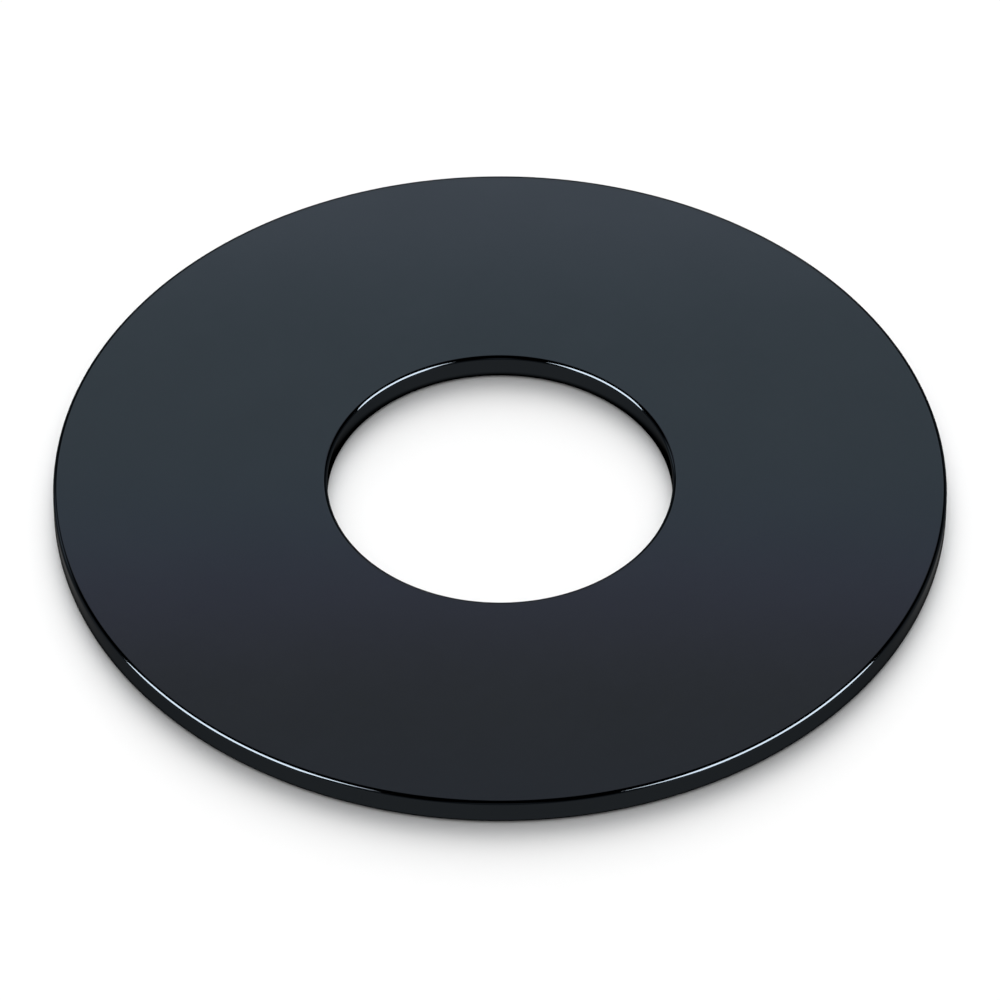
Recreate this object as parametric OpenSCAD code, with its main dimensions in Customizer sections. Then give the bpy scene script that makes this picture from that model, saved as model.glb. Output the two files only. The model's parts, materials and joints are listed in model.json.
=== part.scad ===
// Flat cover ring for a worktop hole.
//
// A solid, coated steel ring that hides the raw edge of the hole which a push
// button or a tap neck passes through. Its underside has an annular recess, in
// which a double-sided adhesive film holds a flat sealing gasket that stands a
// little proud, so that the ring lies on the gasket.
//
// All sizes are in millimetres. The origin is the centre of the plane that the
// ring lies on, and +Z points up, out of the worktop.

/* [Cover plate] */
// Outer diameter of the ring
ring_d = 90; // [82:1:140]
// Diameter of the hole in the middle
hole_d = 34.8; // [20:0.1:42]
// Thickness of the steel
plate_t = 2.7; // [2:0.1:5]
// Radius of the two outer edges
rim_edge_r = 0.4; // [0.1:0.05:0.5]
// Radius of the two edges of the hole
hole_edge_r = 0.4; // [0.1:0.05:0.5]

/* [Gasket recess] */
// Inner diameter of the recess under the plate
recess_in_d = 48; // [46:0.5:56]
// Outer diameter of the recess under the plate
recess_out_d = 78; // [64:0.5:78]
// Depth of the recess
recess_h = 1; // [0.5:0.05:1.2]

/* [Gasket] */
// Gap between the gasket and each side of the recess
side_gap = 0.5; // [0.2:0.1:1]
// How far the gasket stands below the steel
proud = 0.1; // [0.1:0.05:0.5]
// Thickness of the adhesive film above the gasket
film_t = 0.15; // [0.05:0.05:0.3]
// Radius of the gasket's two lower edges
gasket_edge_r = 0.15; // [0.05:0.05:0.2]

/* [Hidden] */
$fn = 128;
// Overlap that keeps two cut faces from coinciding
eps = 0.1;
ring_r = ring_d / 2;
hole_r = hole_d / 2;
recess_in_r = recess_in_d / 2;
recess_out_r = recess_out_d / 2;
// Heights, counted from the plane that the ring lies on
plate_bottom_z = proud;
plate_top_z = plate_bottom_z + plate_t;
recess_roof_z = plate_bottom_z + recess_h;
gasket_t = recess_roof_z - film_t;
// The gasket and its film share one outline
pad_in_r = recess_in_r + side_gap;
pad_out_r = recess_out_r - side_gap;

// Section of a flat ring, r_in to r_out wide and from z upwards
module section(r_in, r_out, z, height) {
    translate([r_in, z])
        square([r_out - r_in, height]);
}

// What a rounding takes off the corner of a section at radius r and height z.
// side and rise are 1 or -1, and point from the corner into the section.
module corner_waste(r, z, side, rise, radius) {
    translate([r, z])
        scale([side, rise])
            difference() {
                translate([-eps, -eps])
                    square(radius + eps);
                translate([radius, radius])
                    circle(radius);
            }
}

// Steel ring with four rounded edges and the recess in its underside
module cover_plate() {
    color([0.13, 0.15, 0.18])
        rotate_extrude()
            difference() {
                section(hole_r, ring_r, plate_bottom_z, plate_t);
                section(recess_in_r, recess_out_r, plate_bottom_z - eps, recess_h + eps);
                corner_waste(hole_r, plate_bottom_z, 1, 1, hole_edge_r);
                corner_waste(hole_r, plate_top_z, 1, -1, hole_edge_r);
                corner_waste(ring_r, plate_bottom_z, -1, 1, rim_edge_r);
                corner_waste(ring_r, plate_top_z, -1, -1, rim_edge_r);
            }
}

// Double-sided film between the recess's roof and the gasket
module adhesive_film() {
    color([0.85, 0.85, 0.8])
        rotate_extrude()
            section(pad_in_r, pad_out_r, gasket_t, film_t);
}

// Flat rubber ring that seals against the worktop and carries the plate
module gasket() {
    color([0.05, 0.05, 0.05])
        rotate_extrude()
            difference() {
                section(pad_in_r, pad_out_r, 0, gasket_t);
                corner_waste(pad_in_r, 0, 1, 1, gasket_edge_r);
                corner_waste(pad_out_r, 0, -1, 1, gasket_edge_r);
            }
}

cover_plate();
adhesive_film();
gasket();
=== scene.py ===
"""Visual model of a flat cover ring for a worktop hole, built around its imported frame.

The ring is three turned pieces on one axis: a steel plate with a glossy blue-black coat, a
rubber gasket in a recess under it, and the adhesive film that holds the gasket there. Each
is swept from its own section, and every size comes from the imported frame, in metres.
"""

from __future__ import annotations

import json
import logging
import math
from collections.abc import Sequence
from dataclasses import dataclass
from enum import Enum

import bmesh
import bpy
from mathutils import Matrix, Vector

import sys


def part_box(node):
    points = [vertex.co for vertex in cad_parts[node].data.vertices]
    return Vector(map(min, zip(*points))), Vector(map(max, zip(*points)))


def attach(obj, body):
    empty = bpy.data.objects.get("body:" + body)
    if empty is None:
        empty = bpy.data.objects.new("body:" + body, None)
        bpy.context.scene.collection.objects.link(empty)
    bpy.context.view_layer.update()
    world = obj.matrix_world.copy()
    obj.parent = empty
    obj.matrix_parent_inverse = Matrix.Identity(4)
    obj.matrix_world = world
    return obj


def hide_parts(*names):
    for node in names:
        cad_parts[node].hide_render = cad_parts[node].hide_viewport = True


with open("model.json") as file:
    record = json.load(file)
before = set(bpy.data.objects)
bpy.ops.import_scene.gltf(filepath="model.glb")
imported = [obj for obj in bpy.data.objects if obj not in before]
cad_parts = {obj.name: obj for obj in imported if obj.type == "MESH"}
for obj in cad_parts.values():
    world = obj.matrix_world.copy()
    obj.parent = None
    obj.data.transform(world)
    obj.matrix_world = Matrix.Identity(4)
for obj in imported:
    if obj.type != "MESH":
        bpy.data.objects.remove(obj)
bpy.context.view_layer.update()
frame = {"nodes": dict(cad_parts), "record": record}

MILLIMETRE = 0.001
WHITE = (1.0, 1.0, 1.0)
ZENITH = 90.0

log = logging.getLogger("cover_ring")


class Node(Enum):
    """Names of the frame's nodes that the pieces stand for."""

    COVER_PLATE = "cover_plate"
    ADHESIVE_FILM = "adhesive_film"
    GASKET = "gasket"


class Slot(Enum):
    """Material slots of the record."""

    COATED_STEEL = "coated_steel"
    ADHESIVE_FILM = "adhesive_film"
    GASKET_RUBBER = "gasket_rubber"


class Body(Enum):
    """Rigid bodies of the frame. Nothing on the ring moves, so there is one."""

    ROOT = "root"


@dataclass(frozen=True)
class CadNode:
    """A node of the frame, read for its heights and radii about the Z axis."""

    node: Node

    @property
    def low_z(self) -> float:
        """Height of the node's lowest point."""
        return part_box(self.node.value)[0].z

    @property
    def high_z(self) -> float:
        """Height of the node's highest point."""
        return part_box(self.node.value)[1].z

    def radii(self, height: float | None = None) -> tuple[float, float]:
        """Smallest and largest radius of the node's corners.

        Args:
            height: Only corners at this height count, or all of them if it is None.

        Returns:
            The smallest and the largest distance from the Z axis.
        """
        tolerance = 0.001 * MILLIMETRE
        found = [
            math.hypot(corner.co.x, corner.co.y)
            for corner in frame["nodes"][self.node.value].data.vertices
            if height is None or abs(corner.co.z - height) < tolerance
        ]
        return min(found), max(found)


class ShaderSheet:
    """A node tree with short ways to add and join nodes."""

    def __init__(self, tree: bpy.types.NodeTree) -> None:
        """Empties a tree and keeps it.

        Args:
            tree: The tree of a material, a world or a lamp.
        """
        self.tree = tree
        tree.nodes.clear()

    def add(
        self, kind: str, inputs: dict[str | int, object] | None = None, **settings: object
    ) -> bpy.types.Node:
        """Adds one node.

        Args:
            kind: The node's type, such as "ShaderNodeMath".
            inputs: Values or output sockets for its inputs, by name or number.
            settings: Properties of the node, such as operation="ADD".

        Returns:
            The new node.
        """
        node = self.tree.nodes.new(kind)
        for name, value in settings.items():
            setattr(node, name, value)
        for key, value in (inputs or {}).items():
            if isinstance(value, bpy.types.NodeSocket):
                self.tree.links.new(value, node.inputs[key])
            else:
                node.inputs[key].default_value = value
        return node

    def math(self, operation: str, *values: object) -> bpy.types.NodeSocket:
        """Adds a Math node and returns its result.

        Args:
            operation: The node's operation, such as "MULTIPLY".
            values: Its inputs in order, as numbers or sockets.
        """
        node = self.add("ShaderNodeMath", dict(enumerate(values)), operation=operation)
        return node.outputs[0]

    def ramp(
        self, value: bpy.types.NodeSocket, start: float, end: float, low: float, high: float
    ) -> bpy.types.NodeSocket:
        """Adds a smooth step from one value to another and returns its result.

        Args:
            value: The socket that drives the step.
            start: Where the step begins. It may be above end.
            end: Where the step is complete.
            low: Result before start.
            high: Result after end.
        """
        inputs = {"Value": value, "From Min": start, "From Max": end, "To Min": low, "To Max": high}
        node = self.add("ShaderNodeMapRange", inputs, interpolation_type="SMOOTHSTEP")
        return node.outputs["Result"]

    def steps(
        self,
        value: bpy.types.NodeSocket,
        colours: Sequence[tuple[float, tuple[float, float, float]]],
    ) -> bpy.types.NodeSocket:
        """Adds a ramp through a row of colours and returns its result.

        Args:
            value: The socket that drives the ramp, from 0 to 1.
            colours: Places along the ramp and the colour at each, in order.
        """
        node = self.add("ShaderNodeValToRGB", {0: value})
        elements = node.color_ramp.elements
        elements.remove(elements[1])
        for index, (place, colour) in enumerate(colours):
            element = elements[0] if index == 0 else elements.new(place)
            element.position = place
            element.color = (*colour, 1.0)
        return node.outputs["Color"]

    def shaded(
        self, colour: tuple[float, float, float], pattern: bpy.types.NodeSocket, spread: float
    ) -> bpy.types.NodeSocket:
        """Makes a colour lighter and darker by a pattern and returns the result.

        Args:
            colour: The colour in linear light.
            pattern: A value from 0 to 1, which leaves the colour as it is at 0.5.
            spread: How much lighter or darker the colour becomes, as a share of it.
        """
        shade = self.math("MULTIPLY_ADD", pattern, 2 * spread, 1 - spread)
        inputs = {0: colour, "Scale": shade}
        return self.add("ShaderNodeVectorMath", inputs, operation="SCALE").outputs[0]

    def noise(
        self, position: bpy.types.NodeSocket, size: float, detail: float
    ) -> bpy.types.NodeSocket:
        """Adds a noise whose lumps have a size in metres and returns its value.

        Args:
            position: Where the noise is read, in metres.
            size: Size of its largest lumps.
            detail: Number of finer octaves.
        """
        inputs = {"Vector": position, "Scale": 1 / size, "Detail": detail}
        return self.add("ShaderNodeTexNoise", inputs).outputs[0]


def new_material(name: str) -> tuple[bpy.types.Material, ShaderSheet]:
    """Makes an empty node material.

    Args:
        name: The material's name.

    Returns:
        The material and the sheet of its nodes.
    """
    material = bpy.data.materials.new(name)
    material.use_nodes = True
    return material, ShaderSheet(material.node_tree)


@dataclass(frozen=True)
class GlossCoat:
    """Hard, glossy blue-black coat on steel.

    Above, it is smooth but for a very shallow orange peel. Below, where the plate was faced
    on a lathe before coating, it shows fine concentric grooves and is duller.
    """

    tint: tuple[float, float, float] = (0.046, 0.054, 0.062)
    grazing_tint: float = 0.5
    tint_spread: float = 0.05
    cloud_size: float = 9 * MILLIMETRE
    roughness: float = 0.05
    roughness_spread: float = 0.02
    underside_roughness: float = 0.34
    faced_below: tuple[float, float] = (-0.9, -0.98)
    peel_size: float = 1.6 * MILLIMETRE
    peel_height: float = 0.0003 * MILLIMETRE
    groove_pitch: float = 0.22 * MILLIMETRE
    groove_height: float = 0.006 * MILLIMETRE

    def make(self) -> bpy.types.Material:
        """Makes the coat's material."""
        material, sheet = new_material("gloss_coat")
        position = sheet.add("ShaderNodeTexCoord").outputs["Object"]
        split = sheet.add("ShaderNodeSeparateXYZ", {0: position})
        normal = sheet.add("ShaderNodeNewGeometry").outputs["Normal"]
        facing = sheet.add("ShaderNodeSeparateXYZ", {0: normal})
        below = sheet.ramp(facing.outputs["Z"], *self.faced_below, 0.0, 1.0)

        clouds = sheet.noise(position, self.cloud_size, detail=3)
        tint = sheet.shaded(self.tint, clouds, self.tint_spread)

        peel = sheet.noise(position, self.peel_size, detail=1)
        peeled = sheet.add("ShaderNodeBump", {"Distance": self.peel_height, "Height": peel})
        radius_squared = sheet.math(
            "ADD",
            sheet.math("MULTIPLY", split.outputs["X"], split.outputs["X"]),
            sheet.math("MULTIPLY", split.outputs["Y"], split.outputs["Y"]),
        )
        turns = sheet.math("DIVIDE", sheet.math("SQRT", radius_squared), self.groove_pitch)
        groove = sheet.math("PINGPONG", turns, 0.5)
        turned_inputs = {
            "Distance": self.groove_height,
            "Height": groove,
            "Strength": below,
            "Normal": peeled.outputs[0],
        }
        turned = sheet.add("ShaderNodeBump", turned_inputs)
        smear = sheet.math(
            "MULTIPLY_ADD", peel, self.roughness_spread, self.roughness - self.roughness_spread / 2
        )
        roughness_inputs = {"Factor": below, 2: smear, 3: self.underside_roughness}
        roughness = sheet.add("ShaderNodeMix", roughness_inputs, data_type="FLOAT")
        shader_inputs = {
            "Base Color": tint,
            "Metallic": 1.0,
            "Roughness": roughness.outputs[0],
            "Specular Tint": (self.grazing_tint,) * 3 + (1.0,),
            "Normal": turned.outputs[0],
        }
        shader = sheet.add("ShaderNodeBsdfPrincipled", shader_inputs)
        sheet.add("ShaderNodeOutputMaterial", {"Surface": shader.outputs[0]})
        return material


@dataclass(frozen=True)
class SheetRubber:
    """Solid black sealing rubber, matt, with the fine print of the cloth it was pressed on."""

    colour: tuple[float, float, float] = (0.012, 0.012, 0.013)
    bloom_size: float = 6 * MILLIMETRE
    bloom_spread: float = 0.35
    roughness: float = 0.6
    bloom_roughness: float = 0.2
    thread_pitch: float = 0.35 * MILLIMETRE
    thread_height: float = 0.012 * MILLIMETRE

    def make(self) -> bpy.types.Material:
        """Makes the rubber's material."""
        material, sheet = new_material("sheet_rubber")
        position = sheet.add("ShaderNodeTexCoord").outputs["Object"]
        split = sheet.add("ShaderNodeSeparateXYZ", {0: position})
        across, along = (
            sheet.math("DIVIDE", split.outputs[axis], self.thread_pitch) for axis in ("X", "Y")
        )
        weave = sheet.math(
            "MAXIMUM", sheet.math("PINGPONG", across, 0.5), sheet.math("PINGPONG", along, 0.5)
        )
        print_bump = sheet.add("ShaderNodeBump", {"Distance": self.thread_height, "Height": weave})
        bloom = sheet.noise(position, self.bloom_size, detail=4)
        roughness = sheet.math("MULTIPLY_ADD", bloom, self.bloom_roughness, self.roughness)
        shader_inputs = {
            "Base Color": sheet.shaded(self.colour, bloom, self.bloom_spread),
            "Roughness": roughness,
            "Normal": print_bump.outputs[0],
        }
        shader = sheet.add("ShaderNodeBsdfPrincipled", shader_inputs)
        sheet.add("ShaderNodeOutputMaterial", {"Surface": shader.outputs[0]})
        return material


@dataclass(frozen=True)
class MilkyAdhesive:
    """Thin acrylic film, milky and slightly wavy."""

    colour: tuple[float, float, float] = (0.72, 0.7, 0.62)
    roughness: float = 0.32
    wave_size: float = 3 * MILLIMETRE
    wave_height: float = 0.01 * MILLIMETRE
    milkiness_spread: float = 0.08

    def make(self) -> bpy.types.Material:
        """Makes the film's material."""
        material, sheet = new_material("milky_adhesive")
        position = sheet.add("ShaderNodeTexCoord").outputs["Object"]
        waves = sheet.noise(position, self.wave_size, detail=2)
        bump = sheet.add("ShaderNodeBump", {"Distance": self.wave_height, "Height": waves})
        shader_inputs = {
            "Base Color": sheet.shaded(self.colour, waves, self.milkiness_spread),
            "Roughness": self.roughness,
            "Normal": bump.outputs[0],
        }
        shader = sheet.add("ShaderNodeBsdfPrincipled", shader_inputs)
        sheet.add("ShaderNodeOutputMaterial", {"Surface": shader.outputs[0]})
        return material


@dataclass(frozen=True)
class Corner:
    """One corner of a turned section: its radius and height about the Z axis, and its rounding."""

    radius: float
    height: float
    rounding: float


class Lathe:
    """Geometry Nodes tree that rounds a section's corners and turns it about the Z axis."""

    ROUNDING = "rounding"

    def __init__(self) -> None:
        """Builds the tree, with named inputs for its sizes."""
        self.tree = bpy.data.node_groups.new("turned_ring", "GeometryNodeTree")
        self.sockets: dict[str, str] = {}
        self._socket("Section", "NodeSocketGeometry")
        self._socket("Turning Radius", "NodeSocketFloat")
        self._socket("Turn Steps", "NodeSocketInt")
        self._socket("Corner Steps", "NodeSocketInt")
        self._socket("Material", "NodeSocketMaterial")
        self.tree.interface.new_socket("Ring", in_out="OUTPUT", socket_type="NodeSocketGeometry")
        self._wire()

    def _socket(self, name: str, kind: str) -> None:
        """Adds a named input and remembers its identifier."""
        socket = self.tree.interface.new_socket(name, in_out="INPUT", socket_type=kind)
        self.sockets[name] = socket.identifier

    def _wire(self) -> None:
        """Adds the tree's nodes and joins them."""
        sheet = ShaderSheet(self.tree)
        given = sheet.add("NodeGroupInput").outputs
        section = sheet.add("GeometryNodeMeshToCurve", {"Mesh": given["Section"]})
        rounding = sheet.add(
            "GeometryNodeInputNamedAttribute", {"Name": self.ROUNDING}, data_type="FLOAT"
        )
        rounded_inputs = {
            "Curve": section.outputs[0],
            "Radius": rounding.outputs[0],
            "Count": given["Corner Steps"],
        }
        rounded = sheet.add("GeometryNodeFilletCurve", rounded_inputs, mode="POLY")
        path_inputs = {"Resolution": given["Turn Steps"], "Radius": given["Turning Radius"]}
        path = sheet.add("GeometryNodeCurvePrimitiveCircle", path_inputs)
        sweep_inputs = {"Curve": path.outputs[0], "Profile Curve": rounded.outputs[0]}
        sweep = sheet.add("GeometryNodeCurveToMesh", sweep_inputs)
        smooth = sheet.add("GeometryNodeSetShadeSmooth", {"Geometry": sweep.outputs[0]})
        real = sheet.add("GeometryNodeRealizeInstances", {"Geometry": smooth.outputs[0]})
        dressed_inputs = {"Geometry": real.outputs[0], "Material": given["Material"]}
        dressed = sheet.add("GeometryNodeSetMaterial", dressed_inputs)
        sheet.add("NodeGroupOutput", {"Ring": dressed.outputs[0]})

    def turn(
        self,
        name: str,
        corners: Sequence[Corner],
        material: bpy.types.Material,
        turn_steps: int,
        corner_steps: int,
        guard: float,
    ) -> bpy.types.Object:
        """Turns one section into a closed ring.

        Args:
            name: Name of the piece.
            corners: The section, clockwise when radius points right and height up.
            material: The piece's material.
            turn_steps: Number of steps round the axis.
            corner_steps: Number of steps in each rounding.
            guard: Distance past each rounding of a line that keeps the flats' shading flat.

        Returns:
            The ring as a plain mesh object at the origin.
        """
        turning_radius = sum(corner.radius for corner in corners) / len(corners)
        section_mesh = self._section_mesh(name, corners, turning_radius, guard)
        holder = bpy.data.objects.new(name, section_mesh)
        bpy.context.scene.collection.objects.link(holder)
        modifier = holder.modifiers.new("lathe", "NODES")
        modifier.node_group = self.tree
        modifier[self.sockets["Turning Radius"]] = turning_radius
        modifier[self.sockets["Turn Steps"]] = turn_steps
        modifier[self.sockets["Corner Steps"]] = corner_steps
        modifier[self.sockets["Material"]] = material
        evaluated = holder.evaluated_get(bpy.context.evaluated_depsgraph_get())
        ring_mesh = bpy.data.meshes.new_from_object(evaluated)
        holder.modifiers.clear()
        holder.data = ring_mesh
        bpy.data.meshes.remove(section_mesh)
        ring_mesh.name = name
        return holder

    def _section_mesh(
        self, name: str, corners: Sequence[Corner], turning_radius: float, guard: float
    ) -> bpy.types.Mesh:
        """Draws a section as a closed loop of edges, with a guard point beside each rounding.

        Args:
            name: Name of the mesh.
            corners: The section's corners.
            turning_radius: Radius that the loop's X is counted from. Its Y is minus the height,
                which is how the sweep lays a loop round its circle.
            guard: Distance of a guard point from the end of its rounding.

        Returns:
            The loop, with each point's rounding as an attribute.
        """
        points: list[tuple[float, float, float]] = []
        roundings: list[float] = []
        for index, corner in enumerate(corners):
            here = Vector((corner.radius - turning_radius, -corner.height, 0))
            before = corners[index - 1]
            after = corners[(index + 1) % len(corners)]
            reach = corner.rounding + guard
            for neighbour, rounding in ((before, 0.0), (None, corner.rounding), (after, 0.0)):
                if neighbour is None:
                    points.append(tuple(here))
                else:
                    there = Vector((neighbour.radius - turning_radius, -neighbour.height, 0))
                    points.append(tuple(here + (there - here).normalized() * reach))
                roundings.append(rounding)
        mesh = bpy.data.meshes.new(name + "_section")
        mesh.from_pydata(points, [(i, (i + 1) % len(points)) for i in range(len(points))], [])
        attribute = mesh.attributes.new(self.ROUNDING, "FLOAT", "POINT")
        attribute.data.foreach_set("value", roundings)
        return mesh


@dataclass(frozen=True)
class CoverPlate:
    """The steel ring: flat, with four rounded edges and a recess in its underside."""

    hole_radius: float
    rim_radius: float
    bottom_z: float
    top_z: float
    hole_edge: float
    rim_edge: float
    recess_inner: float
    recess_outer: float
    recess_roof_z: float
    recess_edge: float = 0.08 * MILLIMETRE
    turn_steps: int = 640
    corner_steps: int = 10
    guard: float = 0.03 * MILLIMETRE

    @classmethod
    def from_frame(cls) -> CoverPlate:
        """Reads the plate's sizes from its node, its hole's mount and the film above the gasket."""
        node = CadNode(Node.COVER_PLATE)
        hole = next(mount for mount in frame["record"]["mounts"] if mount["name"] == "hole")
        hole_radius = hole["dims"]["r_mm"] * MILLIMETRE
        rim_radius = node.radii()[1]
        flat_inner, flat_outer = node.radii(node.high_z)
        roof_z = CadNode(Node.ADHESIVE_FILM).high_z
        recess_inner, recess_outer = node.radii(roof_z)
        return cls(
            hole_radius=hole_radius,
            rim_radius=rim_radius,
            bottom_z=node.low_z,
            top_z=node.high_z,
            hole_edge=flat_inner - hole_radius,
            rim_edge=rim_radius - flat_outer,
            recess_inner=recess_inner,
            recess_outer=recess_outer,
            recess_roof_z=roof_z,
        )

    def corners(self) -> list[Corner]:
        """Section of the plate, from the foot of the hole's wall, over the top and back below."""
        return [
            Corner(self.hole_radius, self.bottom_z, self.hole_edge),
            Corner(self.hole_radius, self.top_z, self.hole_edge),
            Corner(self.rim_radius, self.top_z, self.rim_edge),
            Corner(self.rim_radius, self.bottom_z, self.rim_edge),
            Corner(self.recess_outer, self.bottom_z, self.recess_edge),
            Corner(self.recess_outer, self.recess_roof_z, self.recess_edge),
            Corner(self.recess_inner, self.recess_roof_z, self.recess_edge),
            Corner(self.recess_inner, self.bottom_z, self.recess_edge),
        ]

    def build(self, lathe: Lathe) -> bpy.types.Object:
        """Turns the plate and fastens it to the frame.

        Args:
            lathe: The tree that turns it.

        Returns:
            The finished piece.
        """
        coat = GlossCoat().make()
        plate = lathe.turn(
            "coated_plate", self.corners(), coat, self.turn_steps, self.corner_steps, self.guard
        )
        fasten(plate, Node.COVER_PLATE)
        return plate


@dataclass(frozen=True)
class FlatPad:
    """A flat ring in the plate's recess: the gasket or its adhesive film."""

    name: str
    node: Node
    slot: Slot
    lower_edge: float
    upper_edge: float
    turn_steps: int = 384
    corner_steps: int = 6
    guard: float = 0.02 * MILLIMETRE

    def corners(self) -> list[Corner]:
        """Section of the pad, from the foot of its inner wall."""
        cad = CadNode(self.node)
        inner, outer = cad.radii()
        return [
            Corner(inner, cad.low_z, self.lower_edge),
            Corner(inner, cad.high_z, self.upper_edge),
            Corner(outer, cad.high_z, self.upper_edge),
            Corner(outer, cad.low_z, self.lower_edge),
        ]

    def build(self, lathe: Lathe, material: bpy.types.Material) -> bpy.types.Object:
        """Turns the pad and fastens it to the frame.

        Args:
            lathe: The tree that turns it.
            material: What it is made of.

        Returns:
            The finished piece.
        """
        pad = lathe.turn(
            self.name, self.corners(), material, self.turn_steps, self.corner_steps, self.guard
        )
        fasten(pad, self.node)
        return pad


def fasten(piece: bpy.types.Object, node: Node) -> None:
    """Puts a piece on the frame's body, in place of its node.

    Args:
        piece: The finished piece.
        node: The node that it stands for.
    """
    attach(piece, Body.ROOT.value)
    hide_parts(node.value)


def report(piece: bpy.types.Object) -> None:
    """Logs a finished piece.

    Args:
        piece: The piece, as a plain mesh object.
    """
    triangles = sum(len(face.vertices) - 2 for face in piece.data.polygons)
    log.info("%s: %d triangles", piece.name, triangles)


def direction(azimuth: float, elevation: float) -> Vector:
    """Turns two angles into a direction.

    Args:
        azimuth: Degrees from straight behind the ring towards its right.
        elevation: Degrees above the ground.

    Returns:
        The unit vector from the ring that way.
    """
    turn = math.radians(azimuth)
    rise = math.radians(elevation)
    level = math.cos(rise)
    return Vector((math.sin(turn) * level, math.cos(turn) * level, math.sin(rise)))


@dataclass(frozen=True)
class Softbox:
    """A rectangular lamp that faces the ring from far off and shows in its gloss only.

    Azimuth 0 is behind the ring, and 90 on its right. All angles are in degrees.
    """

    name: str
    azimuth: float
    elevation: float
    width: float
    height: float
    radiance: float
    distance: float = 3.0

    def build(self) -> None:
        """Makes the lamp."""
        data = bpy.data.lights.new(self.name, "AREA")
        data.shape = "RECTANGLE"
        data.size = 2 * self.distance * math.tan(math.radians(self.width) / 2)
        data.size_y = 2 * self.distance * math.tan(math.radians(self.height) / 2)
        data.energy = self.radiance * math.pi * data.size * data.size_y
        lamp = bpy.data.objects.new(self.name, data)
        bpy.context.scene.collection.objects.link(lamp)
        outward = direction(self.azimuth, self.elevation)
        lamp.location = outward * self.distance
        lamp.rotation_mode = "QUATERNION"
        lamp.rotation_quaternion = outward.to_track_quat("Z", "Y")
        lamp.visible_camera = False
        lamp.visible_diffuse = False


@dataclass(frozen=True)
class GlowCard:
    """A round card that gloss sees as a soft glow. Azimuth 0 is behind the ring.

    It is even out to its core and gone at its edge, both counted from its middle. All angles
    are in degrees.
    """

    azimuth: float
    elevation: float
    radiance: float
    core: float = 2.0
    edge: float = 14.0

    def radiance_socket(
        self, sheet: ShaderSheet, outward: bpy.types.NodeSocket
    ) -> bpy.types.NodeSocket:
        """Adds the card's light to the world's nodes.

        Args:
            sheet: The world's nodes.
            outward: The direction looked in.

        Returns:
            The card's radiance in that direction.
        """
        centre = direction(self.azimuth, self.elevation)
        inputs = {0: outward, 1: centre}
        product = sheet.add("ShaderNodeVectorMath", inputs, operation="DOT_PRODUCT")
        angle = sheet.math("DEGREES", sheet.math("ARCCOSINE", product.outputs["Value"]))
        return sheet.ramp(angle, self.edge, self.core, 0.0, self.radiance)


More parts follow.
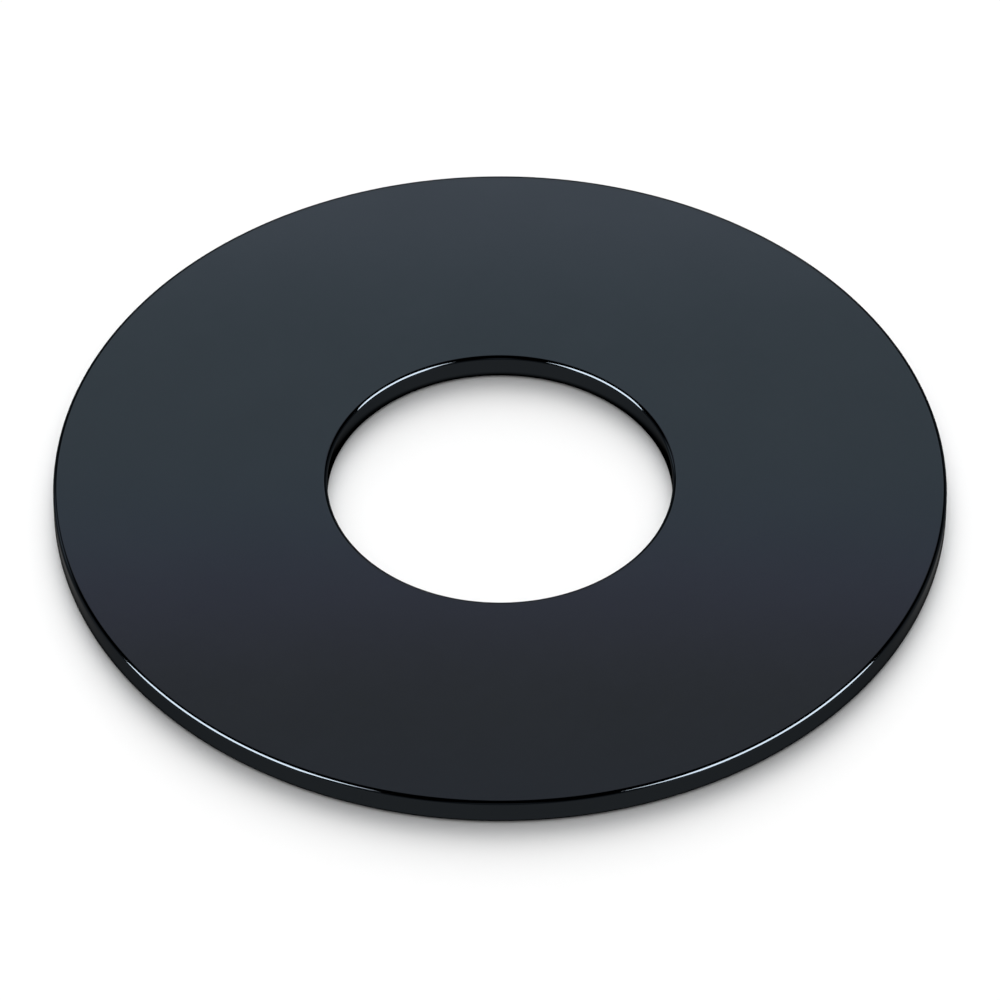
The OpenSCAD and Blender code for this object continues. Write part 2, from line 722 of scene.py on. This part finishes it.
@dataclass(frozen=True)
class StudioDome:
    """The white room round the ring, as the camera, gloss and matt surfaces each meet it.

    The camera sees plain white. Gloss meets a dark room with a soft panel of light behind the
    ring, a few dimmer glows, and a faint one along the horizon. Matt surfaces are lit by the
    whole room, and most by a tall window behind the ring.
    """

    panel_steps: tuple[tuple[float, tuple[float, float, float]], ...] = (
        (40.6, (0.0, 0.0, 0.0)),
        (41.6, (1.12, 1.15, 1.21)),
        (42.9, (1.03, 1.07, 1.16)),
        (43.4, (0.73, 0.82, 0.87)),
        (44.5, (0.7, 0.77, 0.81)),
        (44.85, (0.61, 0.73, 0.81)),
        (45.35, (0.63, 0.58, 0.75)),
        (45.9, (0.46, 0.44, 0.43)),
        (47.0, (0.43, 0.43, 0.48)),
        (49.5, (0.0, 0.0, 0.0)),
    )
    panel_side: float = 12.0
    panel_side_ends: float = 26.0
    horizon_glow: float = 0.12
    horizon_fades: float = 8.0
    horizon_ends: float = 34.0
    glow_tint: tuple[float, float, float] = (0.92, 1.0, 1.1)
    cards: tuple[GlowCard, ...] = (
        GlowCard(azimuth=-49, elevation=26, radiance=0.9, core=3.0, edge=11.0),
        GlowCard(azimuth=135, elevation=10, radiance=0.75),
        GlowCard(azimuth=180, elevation=35, radiance=0.22),
    )
    matt_radiance: float = 0.153
    matt_rise: float = 2.0
    matt_window: float = 26.3
    window_width: float = 28.1
    window_height: float = 43.7

    def build(self) -> None:
        """Makes the scene's world."""
        world = bpy.data.worlds.new("studio_dome")
        world.use_nodes = True
        bpy.context.scene.world = world
        sheet = ShaderSheet(world.node_tree)
        outward = sheet.add("ShaderNodeTexCoord").outputs["Generated"]
        split = sheet.add("ShaderNodeSeparateXYZ", {0: outward}).outputs
        elevation = sheet.math("DEGREES", sheet.math("ARCSINE", split["Z"]))
        azimuth = sheet.math("DEGREES", sheet.math("ARCTAN2", split["X"], split["Y"]))
        gloss = self._gloss_light(sheet, outward, azimuth, elevation)
        matt_radiance = self._matt_light(sheet, azimuth, elevation, split["Z"])
        plain = (*WHITE, 1.0)
        matt = sheet.add("ShaderNodeBackground", {"Color": plain, "Strength": matt_radiance})
        white = sheet.add("ShaderNodeBackground", {"Color": plain, "Strength": 1.0})
        ray = sheet.add("ShaderNodeLightPath").outputs
        unseen_inputs = {0: ray["Is Glossy Ray"], 1: matt.outputs[0], 2: gloss}
        unseen = sheet.add("ShaderNodeMixShader", unseen_inputs)
        seen_inputs = {0: ray["Is Camera Ray"], 1: unseen.outputs[0], 2: white.outputs[0]}
        seen = sheet.add("ShaderNodeMixShader", seen_inputs)
        sheet.add("ShaderNodeOutputWorld", {"Surface": seen.outputs[0]})

    def _gloss_light(
        self,
        sheet: ShaderSheet,
        outward: bpy.types.NodeSocket,
        azimuth: bpy.types.NodeSocket,
        elevation: bpy.types.NodeSocket,
    ) -> bpy.types.NodeSocket:
        """Light of the panel, the cards and the horizon towards the ring's gloss.

        Args:
            sheet: The world's nodes.
            outward: The direction looked in.
            azimuth: Its degrees from straight behind the ring.
            elevation: Its degrees above the ground.

        Returns:
            The background that gloss reflects.
        """
        colours = [(at / ZENITH, colour) for at, colour in self.panel_steps]
        colour = sheet.steps(sheet.math("DIVIDE", elevation, ZENITH), colours)
        side = sheet.math("ABSOLUTE", azimuth)
        spread = sheet.ramp(side, self.panel_side, self.panel_side_ends, 1.0, 0.0)
        panel = sheet.add("ShaderNodeBackground", {"Color": colour, "Strength": spread})
        total = sheet.ramp(
            elevation, self.horizon_fades, self.horizon_ends, self.horizon_glow, 0.0
        )
        for card in self.cards:
            total = sheet.math("ADD", total, card.radiance_socket(sheet, outward))
        glow_inputs = {"Color": (*self.glow_tint, 1.0), "Strength": total}
        glow = sheet.add("ShaderNodeBackground", glow_inputs)
        both = sheet.add("ShaderNodeAddShader", {0: panel.outputs[0], 1: glow.outputs[0]})
        return both.outputs[0]

    def _matt_light(
        self,
        sheet: ShaderSheet,
        azimuth: bpy.types.NodeSocket,
        elevation: bpy.types.NodeSocket,
        height: bpy.types.NodeSocket,
    ) -> bpy.types.NodeSocket:
        """Light of the room on matt surfaces: even all round, and strongest at the window.

        Args:
            sheet: The world's nodes.
            azimuth: Degrees from straight behind the ring.
            elevation: Degrees above the ground.
            height: Z of the direction looked in.

        Returns:
            The radiance that lights them.
        """
        across = sheet.math("POWER", sheet.math("DIVIDE", azimuth, self.window_width), 2.0)
        up = sheet.math("POWER", sheet.math("DIVIDE", elevation, self.window_height), 2.0)
        away = sheet.math("ADD", across, up)
        window = sheet.math("EXPONENT", sheet.math("MULTIPLY", away, -1.0))
        level = sheet.math("MULTIPLY_ADD", window, self.matt_window, 1.0)
        rise = sheet.math("EXPONENT", sheet.math("MULTIPLY", height, self.matt_rise))
        return sheet.math("MULTIPLY", sheet.math("MULTIPLY", level, rise), self.matt_radiance)


@dataclass(frozen=True)
class PaleGround:
    """White floor that fades into the white room away from the ring.

    In the ring's gloss it shows a painted grey glow instead, an emission that darkens with
    distance, as if black cards stood round the ring, so that the gloss stays dark beside the white
    floor.
    Right at the ring's foot the glow is cut out, a painted shadow of the ring in the reflection.
    """

    radius: float = 0.9
    fade_from: float = 0.45
    drop: float = 0.01 * MILLIMETRE
    whiteness: float = 0.8
    gloss_near: float = 0.27
    gloss_far: float = 0.03
    # Bounds of a painted shadow: between them the floor's glow in gloss is cut out at the ring's
    # foot.
    painted_shadow_inner: float = 17 * MILLIMETRE
    painted_shadow_outer: float = 45 * MILLIMETRE
    painted_shadow_fades: float = 0.6 * MILLIMETRE
    gloss_near_ends: float = 80 * MILLIMETRE
    gloss_far_from: float = 160 * MILLIMETRE
    steps: int = 128

    def build(self) -> None:
        """Makes the floor as a disc just under the ring."""
        shape = bmesh.new()
        bmesh.ops.create_circle(shape, cap_ends=True, segments=self.steps, radius=self.radius)
        mesh = bpy.data.meshes.new("ground")
        shape.to_mesh(mesh)
        shape.free()
        for corner in mesh.vertices:
            corner.co.z = -self.drop
        ground = bpy.data.objects.new("ground", mesh)
        bpy.context.scene.collection.objects.link(ground)
        mesh.materials.append(self._material())

    def _material(self) -> bpy.types.Material:
        """Matt white that turns clear towards the floor's edge; to gloss, a painted grey glow with
        a painted shadow at the ring's foot.
        """
        material, sheet = new_material("pale_ground")
        position = sheet.add("ShaderNodeTexCoord").outputs["Object"]
        away = sheet.add("ShaderNodeVectorMath", {0: position}, operation="LENGTH").outputs["Value"]
        clear = sheet.ramp(away, self.fade_from, self.radius, 0.0, 1.0)
        white = (self.whiteness,) * 3
        matt = sheet.add("ShaderNodeBsdfDiffuse", {"Color": (*white, 1.0)})
        grey = sheet.ramp(
            away, self.gloss_near_ends, self.gloss_far_from, self.gloss_near, self.gloss_far
        )
        # Painted shadow: the gloss glow is cut out from the hole's edge to the rim, where the ring
        # would shade the floor.
        rim_floor_unshadowed = sheet.ramp(away, self.painted_shadow_outer, self.painted_shadow_outer + self.painted_shadow_fades, 0.0, 1.0)
        hole_floor_unshadowed = sheet.ramp(away, self.painted_shadow_inner, self.painted_shadow_inner - self.painted_shadow_fades, 0.0, 1.0)
        unshadowed_floor = sheet.math("ADD", rim_floor_unshadowed, hole_floor_unshadowed)
        # Painted reflection: gloss sees this emission in place of the lit floor, dimmer with
        # distance.
        dim_inputs = {"Color": (*WHITE, 1.0), "Strength": sheet.math("MULTIPLY", grey, unshadowed_floor)}
        dim = sheet.add("ShaderNodeEmission", dim_inputs)
        in_gloss = sheet.add("ShaderNodeLightPath").outputs["Is Glossy Ray"]
        shown_inputs = {0: in_gloss, 1: matt.outputs[0], 2: dim.outputs[0]}
        shown = sheet.add("ShaderNodeMixShader", shown_inputs)
        glass = sheet.add("ShaderNodeBsdfTransparent")
        mixed_inputs = {0: clear, 1: shown.outputs[0], 2: glass.outputs[0]}
        mixed = sheet.add("ShaderNodeMixShader", mixed_inputs)
        sheet.add("ShaderNodeOutputMaterial", {"Surface": mixed.outputs[0]})
        return material


@dataclass(frozen=True)
class ProductCamera:
    """Long-lens camera in front of the ring and above it."""

    elevation: float = 44.79
    distance: float = 0.874
    lens: float = 311.7
    aim: tuple[float, float, float] = (0.0, -0.00037, 0.0)

    def build(self) -> None:
        """Makes the camera and gives it to the scene."""
        data = bpy.data.cameras.new("product_camera")
        data.lens = self.lens
        camera = bpy.data.objects.new("product_camera", data)
        bpy.context.scene.collection.objects.link(camera)
        camera.location = direction(180, self.elevation) * self.distance
        camera.rotation_mode = "QUATERNION"
        sight = Vector(self.aim) - camera.location
        camera.rotation_quaternion = sight.to_track_quat("-Z", "Y")
        bpy.context.scene.camera = camera


def build_studio() -> None:
    """Makes the camera, the floor, the room and the lamps."""
    ProductCamera().build()
    PaleGround().build()
    StudioDome().build()
    for name, side in (("left_softbox", -1), ("right_softbox", 1)):
        Softbox(
            name, azimuth=side * 110.7, elevation=38, width=47.7, height=36, radiance=16.0
        ).build()
    scene = bpy.context.scene
    scene.view_settings.view_transform = "Standard"
    scene.view_settings.look = "None"


def main() -> None:
    """Builds the studio and the ring's three pieces, in order."""
    logging.basicConfig(level=logging.INFO, format="%(name)s: %(message)s", stream=sys.stdout)
    build_studio()
    lathe = Lathe()
    report(CoverPlate.from_frame().build(lathe))
    gasket = FlatPad(
        "sealing_gasket", Node.GASKET, Slot.GASKET_RUBBER,
        lower_edge=0.15 * MILLIMETRE, upper_edge=0.04 * MILLIMETRE,
    )
    report(gasket.build(lathe, SheetRubber().make()))
    film = FlatPad(
        "mounting_film", Node.ADHESIVE_FILM, Slot.ADHESIVE_FILM,
        lower_edge=0.03 * MILLIMETRE, upper_edge=0.03 * MILLIMETRE,
    )
    report(film.build(lathe, MilkyAdhesive().make()))


if __name__ == "__main__":
    main()
